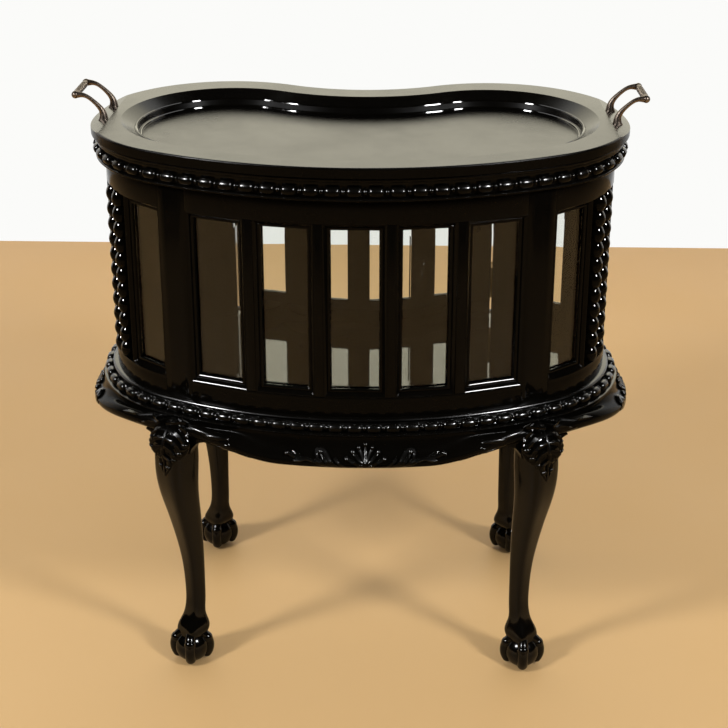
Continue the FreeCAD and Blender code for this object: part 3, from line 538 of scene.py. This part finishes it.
def build_carvings():
    """Carving of the front and end aprons, and leaves on the four knees."""
    end_scale = wall_line.end_radius / (wall_line.end_radius + APRON_STRETCH)
    front_carrier = along_apron(FRONT_CARVING_S, FRONT_CARVING_SCALE)
    front = lay_on(flat_cartouche(True), front_carrier, FRONT_CARVING_Z,
                   [nodes["apron_front"]], APRON_PROUD)
    end = lay_on(flat_cartouche(False), along_apron(END_CARVING_S, end_scale), END_CARVING_Z,
                 [nodes["apron_right"]], APRON_PROUD, END_CARVING_OUT)
    edge = mirrored_flat([strand(EDGE_BEAD, EDGE_BEAD_RADIUS)], "edge_bead")
    edge = lay_on(edge, along_apron(0, 1.0), FRONT_CARVING_Z, [nodes["apron_front"]], 0.0)
    aprons = joined([front, edge, with_twin(end)], "carved_aprons")
    finish_piece(aprons, "carved_aprons", lacquer_carved, "table")
    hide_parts("apron_carvings")
    front_grounds = [nodes[name] for name in KNEE_GROUNDS + ("leg_front_right", "apron_front")]
    front_knee = lay_on(flat_knee(), around_knee(LEG_FRONT_S, LEG_FRONT_OUT, -LEG_TURN), KNEE_Z,
                        front_grounds, FRONT_KNEE_PROUD)
    back_grounds = [nodes[name] for name in KNEE_GROUNDS + ("leg_back_right", "apron_back")]
    back_knee = lay_on(flat_knee(), around_knee(LEG_BACK_S, LEG_BACK_OUT, LEG_TURN), KNEE_Z,
                       back_grounds, 0.0)
    knees = with_twin(joined([front_knee, back_knee], "carved_knees"))
    finish_piece(knees, "carved_knees", lacquer_carved, "table")


# Handles


def grip_rib():
    """One ring of the grip, lying along Y."""
    bpy.ops.object.select_all(action="DESELECT")
    bpy.ops.mesh.primitive_cylinder_add(vertices=12, radius=RIB_RADIUS * MM, depth=RIB_WIDTH * MM,
                                        rotation=(math.pi / 2, 0, 0))
    rib = bpy.context.object
    apply_place(rib)
    apply_modifier(rib, "BEVEL", width=RIB_ROUND * MM, segments=2, limit_method="ANGLE",
                   angle_limit=math.radians(60))
    smooth(rib, 50)
    return rib


def build_grips():
    """Rings round the middle of both handle bars."""
    model = grip_rib()
    foot = Vector((HANDLE_FOOT_X, HANDLE_Y, 0)) * MM
    turn = Matrix.Rotation(math.radians(HANDLE_TURN), 4, "Z")
    pieces = []
    for i in range(RIB_COUNT):
        along = (i - (RIB_COUNT - 1) / 2) * RIB_PITCH
        place = Vector((GRIP_X - HANDLE_FOOT_X, along, GRIP_Z)) * MM
        pieces.append(copy_of(model, Matrix.Translation(foot) @ turn @ Matrix.Translation(place)))
    bpy.data.objects.remove(model)
    ribs = joined(pieces, "grip_rings")
    apply_place(ribs)
    finish_piece(with_twin(ribs), "grip_rings", silver, "tray")


# Materials


def colour(text):
    """Linear colour of an sRGB hex value."""
    channels = [int(text[i:i + 2], 16) / 255 for i in (1, 3, 5)]
    linear = [c / 12.92 if c <= 0.04045 else ((c + 0.055) / 1.055) ** 2.4 for c in channels]
    return (*linear, 1.0)


def per_mm(size):
    """Texture scale whose features are about this many millimetres wide."""
    return 1.0 / (size * MM)


def add(tree, kind, settings=None, inputs=None):
    """Add a node with its settings, and its inputs as values or links.

    Inputs that share a name go by number: 1 to 4 of a Map Range are its limits before and after, and 6
    and 7 of a Mix are its two colours.
    """
    node = tree.nodes.new(kind)
    for name, value in (settings or {}).items():
        setattr(node, name, value)
    for name, value in (inputs or {}).items():
        if isinstance(value, bpy.types.NodeSocket):
            tree.links.new(value, node.inputs[name])
        else:
            node.inputs[name].default_value = value
    return node


def new_material(name):
    """Empty material and its node tree."""
    material = bpy.data.materials.new(name)
    material.use_nodes = True
    material.node_tree.nodes.clear()
    return material, material.node_tree


def close_material(tree, shader):
    """Make a shader the surface of its material."""
    add(tree, "ShaderNodeOutputMaterial", inputs={"Surface": shader.outputs[0]})


def black_lacquer(name, painted_side_shine, painted_top_shine, gloss, satin, grain):
    """Black lacquer over close-grained mahogany: a deep gloss with rubbed, duller patches.

    Its reflection is painted by facing: strong on faces that look up, so edges and beads catch white
    lights as painted highlights, and weak on sides and undersides, painted shade that keeps them black.
    The pores run along the grain, stretched about twelve times.
    """
    material, tree = new_material(name)
    texture = add(tree, "ShaderNodeTexCoord")
    place = texture.outputs["Object"]
    facing = add(tree, "ShaderNodeSeparateXYZ", inputs={0: texture.outputs["Normal"]})
    # Painted highlight and shade: the reflection strength follows which way a face looks, not the lacquer
    # itself.
    painted_facing_shine = add(tree, "ShaderNodeMapRange",
                inputs={0: facing.outputs["Z"], 1: 0.12, 2: 0.4, 3: painted_side_shine, 4: painted_top_shine})
    stretch = {"X": (1, 12, 12), "Z": (12, 12, 1)}[grain]
    along = add(tree, "ShaderNodeMapping", inputs={"Vector": place, "Scale": stretch})
    pores = add(tree, "ShaderNodeTexNoise",
                inputs={"Vector": along.outputs[0], "Scale": per_mm(18), "Detail": 5.0, "Roughness": 0.6})
    rubbed = add(tree, "ShaderNodeTexNoise",
                 inputs={"Vector": place, "Scale": per_mm(90), "Detail": 4.0, "Roughness": 0.65})
    tint = add(tree, "ShaderNodeMix", {"data_type": "RGBA"},
               {0: rubbed.outputs["Fac"], 6: colour("#030302"), 7: colour("#090705")})
    sheen = add(tree, "ShaderNodeMapRange",
                inputs={0: rubbed.outputs["Fac"], 1: 0.35, 2: 0.7, 3: gloss, 4: satin})
    peel = add(tree, "ShaderNodeBump", inputs={"Strength": 0.2, "Distance": 0.02 * MM,
                                               "Height": pores.outputs["Fac"]})
    shader = add(tree, "ShaderNodeBsdfPrincipled", inputs={
        "Base Color": tint.outputs[2], "Roughness": sheen.outputs[0], "IOR": 1.5,
        "Specular IOR Level": painted_facing_shine.outputs[0], "Normal": peel.outputs[0]})
    close_material(tree, shader)
    return material


def bevelled_glass():
    """Clear float glass with ground and polished bevels, a little dusty.

    Its IOR is lower than the usual 1.5, because the panes mirror little of the room.
    """
    material, tree = new_material("bevelled_glass")
    place = add(tree, "ShaderNodeTexCoord").outputs["Object"]
    dust = add(tree, "ShaderNodeTexNoise",
               inputs={"Vector": place, "Scale": per_mm(45), "Detail": 6.0, "Roughness": 0.7})
    haze = add(tree, "ShaderNodeMapRange",
               inputs={0: dust.outputs["Fac"], 1: 0.45, 2: 0.8, 3: 0.0, 4: 0.005})
    shader = add(tree, "ShaderNodeBsdfPrincipled", inputs={
        "Base Color": colour("#F3F5F2"), "Roughness": haze.outputs[0], "IOR": 1.3,
        "Transmission Weight": 1.0})
    close_material(tree, shader)
    return material


def antique_silver():
    """Cast and patinated silver-plated metal: bright on the high places, brown in the hollows."""
    material, tree = new_material("antique_silver")
    place = add(tree, "ShaderNodeTexCoord").outputs["Object"]
    cast = add(tree, "ShaderNodeTexNoise",
               inputs={"Vector": place, "Scale": per_mm(4), "Detail": 5.0, "Roughness": 0.6})
    edge = add(tree, "ShaderNodeNewGeometry")
    raised = add(tree, "ShaderNodeMapRange",
                 inputs={0: edge.outputs["Pointiness"], 1: 0.46, 2: 0.56, 3: 0.0, 4: 1.0})
    mottled = add(tree, "ShaderNodeMath", {"operation": "MULTIPLY"},
                  {0: raised.outputs[0], 1: cast.outputs["Fac"]})
    tint = add(tree, "ShaderNodeMix", {"data_type": "RGBA"},
               {0: mottled.outputs[0], 6: colour("#5C5048"), 7: colour("#A89C8E")})
    rough = add(tree, "ShaderNodeMapRange",
                inputs={0: cast.outputs["Fac"], 1: 0.3, 2: 0.7, 3: 0.26, 4: 0.48})
    skin = add(tree, "ShaderNodeBump", inputs={"Strength": 0.3, "Distance": 0.15 * MM,
                                               "Height": cast.outputs["Fac"]})
    shader = add(tree, "ShaderNodeBsdfPrincipled", inputs={
        "Base Color": tint.outputs[2], "Metallic": 1.0, "Roughness": rough.outputs[0],
        "Normal": skin.outputs[0]})
    close_material(tree, shader)
    return material


def worn_metal(name, dark, light, roughness):
    """Plain metal fitting with a dulled, slightly stained skin."""
    material, tree = new_material(name)
    place = add(tree, "ShaderNodeTexCoord").outputs["Object"]
    stain = add(tree, "ShaderNodeTexNoise",
                inputs={"Vector": place, "Scale": per_mm(6), "Detail": 4.0, "Roughness": 0.6})
    tint = add(tree, "ShaderNodeMix", {"data_type": "RGBA"},
               {0: stain.outputs["Fac"], 6: colour(dark), 7: colour(light)})
    rough = add(tree, "ShaderNodeMapRange",
                inputs={0: stain.outputs["Fac"], 1: 0.3, 2: 0.7, 3: roughness, 4: roughness + 0.15})
    shader = add(tree, "ShaderNodeBsdfPrincipled", inputs={
        "Base Color": tint.outputs[2], "Metallic": 1.0, "Roughness": rough.outputs[0]})
    close_material(tree, shader)
    return material


def bare_mahogany():
    """Unfinished mahogany under the cabinet: dull, with long darker pores."""
    material, tree = new_material("bare_mahogany")
    place = add(tree, "ShaderNodeTexCoord").outputs["Object"]
    along = add(tree, "ShaderNodeMapping", inputs={"Vector": place, "Scale": (1, 14, 14)})
    pores = add(tree, "ShaderNodeTexNoise",
                inputs={"Vector": along.outputs[0], "Scale": per_mm(20), "Detail": 6.0, "Roughness": 0.65})
    tint = add(tree, "ShaderNodeMix", {"data_type": "RGBA"},
               {0: pores.outputs["Fac"], 6: colour("#5A3522"), 7: colour("#8C5A3A")})
    skin = add(tree, "ShaderNodeBump", inputs={"Strength": 0.4, "Distance": 0.1 * MM,
                                               "Height": pores.outputs["Fac"]})
    shader = add(tree, "ShaderNodeBsdfPrincipled", inputs={
        "Base Color": tint.outputs[2], "Roughness": 0.7, "Normal": skin.outputs[0]})
    close_material(tree, shader)
    return material


def moulded_plastic():
    """Black moulded plastic of the door catch: even, with a faint spark-eroded texture."""
    material, tree = new_material("moulded_plastic")
    place = add(tree, "ShaderNodeTexCoord").outputs["Object"]
    texture = add(tree, "ShaderNodeTexNoise",
                  inputs={"Vector": place, "Scale": per_mm(1.2), "Detail": 3.0})
    tint = add(tree, "ShaderNodeMix", {"data_type": "RGBA"},
               {0: texture.outputs["Fac"], 6: colour("#151515"), 7: colour("#222222")})
    skin = add(tree, "ShaderNodeBump", inputs={"Strength": 0.4, "Distance": 0.05 * MM,
                                               "Height": texture.outputs["Fac"]})
    shader = add(tree, "ShaderNodeBsdfPrincipled", inputs={
        "Base Color": tint.outputs[2], "Roughness": 0.45, "Normal": skin.outputs[0]})
    close_material(tree, shader)
    return material


# Lacquers, all copies of one black lacquer: shine of sides and tops, painted part by part as shade and
# highlight, darker on the aprons and brighter on beads and carvings; roughness where glossy and where
# rubbed, and the way of the grain.
lacquer_upright = black_lacquer("black_lacquer_upright", 0.06, 0.4, 0.08, 0.18, "Z")
lacquer_level = black_lacquer("black_lacquer_level", 0.05, 0.3, 0.1, 0.2, "X")
lacquer_aprons = black_lacquer("black_lacquer_aprons", 0.04, 0.06, 0.12, 0.22, "X")
lacquer_legs = black_lacquer("black_lacquer_legs", 0.16, 0.4, 0.1, 0.2, "Z")
lacquer_satin = black_lacquer("black_lacquer_satin", 0.05, 0.5, 0.2, 0.28, "X")
lacquer_polished = black_lacquer("black_lacquer_polished", 0.05, 0.9, 0.03, 0.06, "X")
lacquer_carved = black_lacquer("black_lacquer_carved", 0.06, 0.9, 0.17, 0.26, "X")
glass = bevelled_glass()
silver = antique_silver()
brass = worn_metal("aged_brass", "#6E4F22", "#A98446", 0.28)
steel = worn_metal("zinc_plated_steel", "#7C7E80", "#A9ABAC", 0.3)
raw_wood = bare_mahogany()
plastic = moulded_plastic()

# Which solids get which finish, and which have worn edges.
SLOT_MATERIALS = {
    "black_lacquer": lacquer_level, "bare_wood": raw_wood, "clear_glass": glass, "antique_silver": silver,
    "aged_brass": brass, "plain_steel": steel, "catch_plastic": plastic,
}
UPRIGHT_WORDS = ("stile", "post", "pilaster", "sash", "glazing")
SATIN_NODES = ("tray_rim", "tray_panel")
POLISHED_NODES = ("base_board", "pilasters_left", "pilasters_right", "knee_carvings")
SOFT_WORDS = ("sash", "rail", "stile", "post")


def dress_solids():
    """Give every CAD node the material of its slot, with the grain along the piece; lacquered parts get
    copies whose shine is painted darker or brighter part by part.
    """
    for node, obj in nodes.items():
        material = SLOT_MATERIALS[slot_of[node]]
        if node in POLISHED_NODES:
            material = lacquer_polished
        elif node in SATIN_NODES:
            material = lacquer_satin
        elif node.startswith("apron_"):
            material = lacquer_aprons
        elif material is lacquer_level and node.startswith("leg_"):
            material = lacquer_legs
        elif material is lacquer_level and any(word in node for word in UPRIGHT_WORDS):
            material = lacquer_upright
        obj.data.materials.clear()
        obj.data.materials.append(material)


def soften_edges():
    """Worn arrises of the joinery: each sharp edge gets a small round that catches the light."""
    for node, obj in nodes.items():
        if any(word in node for word in SOFT_WORDS):
            weld = obj.modifiers.new("weld", "WELD")
            weld.merge_threshold = 0.01 * MM
            bevel = obj.modifiers.new("worn_edges", "BEVEL")
            bevel.width = EDGE_ROUND * MM
            bevel.segments = 2
            bevel.limit_method = "ANGLE"
            bevel.angle_limit = math.radians(40)


# Stage


def pale_floor():
    """Plain painted floor: even in colour, with a faintly uneven sheen."""
    material, tree = new_material("pale_floor")
    place = add(tree, "ShaderNodeTexCoord").outputs["Object"]
    mottle = add(tree, "ShaderNodeTexNoise", inputs={"Vector": place, "Scale": per_mm(400), "Detail": 2.0})
    rough = add(tree, "ShaderNodeMapRange",
                inputs={0: mottle.outputs["Fac"], 1: 0.3, 2: 0.7, 3: 0.45, 4: 0.55})
    shader = add(tree, "ShaderNodeBsdfPrincipled", inputs={
        "Base Color": colour(FLOOR_COLOUR), "Roughness": rough.outputs[0], "IOR": 1.4})
    close_material(tree, shader)
    return material


def white_wall():
    """White studio wall, clear from behind: plain white to the eye and through glass.

    Only its middle is as white in reflections; its far sides show their paint, which few lamps reach.
    """
    material, tree = new_material("white_wall")
    rays = add(tree, "ShaderNodeLightPath").outputs
    place = add(tree, "ShaderNodeTexCoord").outputs["Object"]
    across = add(tree, "ShaderNodeSeparateXYZ", inputs={0: place})
    away = add(tree, "ShaderNodeMath", {"operation": "ABSOLUTE"}, {0: across.outputs["X"]})
    middle = add(tree, "ShaderNodeMath", {"operation": "LESS_THAN"},
                 {0: away.outputs[0], 1: WALL_MIDDLE * MM})
    mirrored = add(tree, "ShaderNodeMath", {"operation": "MULTIPLY"},
                   {0: rays["Is Glossy Ray"], 1: middle.outputs[0]})
    direct = add(tree, "ShaderNodeMath", {"operation": "MAXIMUM"},
                 {0: rays["Is Camera Ray"], 1: rays["Is Transmission Ray"]})
    seen = add(tree, "ShaderNodeMath", {"operation": "MAXIMUM"},
               {0: direct.outputs[0], 1: mirrored.outputs[0]})
    paint = add(tree, "ShaderNodeBsdfDiffuse", inputs={"Color": colour(WALL_COLOUR)})
    glow = add(tree, "ShaderNodeEmission", inputs={"Color": colour(WALL_COLOUR), "Strength": 1.0})
    front = add(tree, "ShaderNodeMixShader", inputs={
        0: seen.outputs[0], 1: paint.outputs[0], 2: glow.outputs[0]})
    behind = add(tree, "ShaderNodeNewGeometry").outputs["Backfacing"]
    clear = add(tree, "ShaderNodeBsdfTransparent")
    shader = add(tree, "ShaderNodeMixShader", inputs={0: behind, 1: front.outputs[0], 2: clear.outputs[0]})
    close_material(tree, shader)
    return material


def build_stage():
    """Floor and wall, which aren't part of the table."""
    bpy.ops.object.select_all(action="DESELECT")
    bpy.ops.mesh.primitive_plane_add(size=FLOOR_SIZE * MM)
    floor = bpy.context.object
    floor.name = "floor"
    floor.data.materials.append(pale_floor())
    bpy.ops.mesh.primitive_plane_add(size=1.0, location=(0, WALL_Y * MM, WALL_HEIGHT / 2 * MM),
                                     rotation=(math.pi / 2, 0, 0))
    wall = bpy.context.object
    wall.name = "wall"
    wall.scale = (WALL_WIDTH * MM, WALL_HEIGHT * MM, 1.0)
    apply_place(wall)
    wall.data.materials.append(white_wall())


def area_light(name, place, aim, size, power, tint="#FFFFFF"):
    """Soft lamp at a place in metres, turned to what it is aimed at."""
    light = bpy.data.lights.new(name, "AREA")
    light.color = colour(tint)[:3]
    light.shape = "RECTANGLE"
    light.size = size[0]
    light.size_y = size[1]
    light.energy = power
    obj = bpy.data.objects.new(name, light)
    obj.location = place
    obj.rotation_euler = (Vector(aim) - Vector(place)).to_track_quat("-Z", "Y").to_euler()
    bpy.context.scene.collection.objects.link(obj)


def build_lights():
    """Two soft lamps in front, to the left and right, and a faint warm panel behind."""
    area_light("key_left", (-2.45, -1.85, 2.5), (0, 0, 0.5), (0.6, 0.6), 75.0)
    area_light("key_right", (2.3, -2.05, 2.5), (0, 0, 0.5), (0.6, 0.6), 71.0)
    area_light("back_panel", (0, 1.5, 1.3), (0, 0, 1.0), (2.4, 1.0), 6.0, "#FFF1B6")


def build_world():
    """Even fill light, and plain white behind the table from every side."""
    world = bpy.data.worlds.new("studio")
    world.use_nodes = True
    tree = world.node_tree
    rays = add(tree, "ShaderNodeLightPath").outputs
    seen = add(tree, "ShaderNodeMath", {"operation": "MAXIMUM"},
               {0: rays["Is Camera Ray"], 1: rays["Is Transmission Ray"]})
    strength = add(tree, "ShaderNodeMapRange", inputs={0: seen.outputs[0], 3: FILL_LIGHT, 4: 1.0})
    background = tree.nodes["Background"]
    background.inputs["Color"].default_value = colour(WALL_COLOUR)
    tree.links.new(strength.outputs[0], background.inputs["Strength"])
    world.cycles_visibility.glossy = False
    bpy.context.scene.world = world


def build_camera():
    """Camera that sees the table as the photograph does."""
    data = bpy.data.cameras.new("camera")
    data.lens = CAMERA_LENS
    camera = bpy.data.objects.new("camera", data)
    camera.location = Vector(CAMERA_PLACE) * MM
    camera.rotation_euler = (math.radians(90.0 - CAMERA_PITCH), 0, math.radians(CAMERA_TURN))
    bpy.context.scene.collection.objects.link(camera)
    bpy.context.scene.camera = camera
    bpy.context.scene.view_settings.view_transform = "Standard"


dress_solids()
soften_edges()
build_mouldings()
build_well_beads()
build_carvings()
build_grips()
build_stage()
build_lights()
build_world()
build_camera()
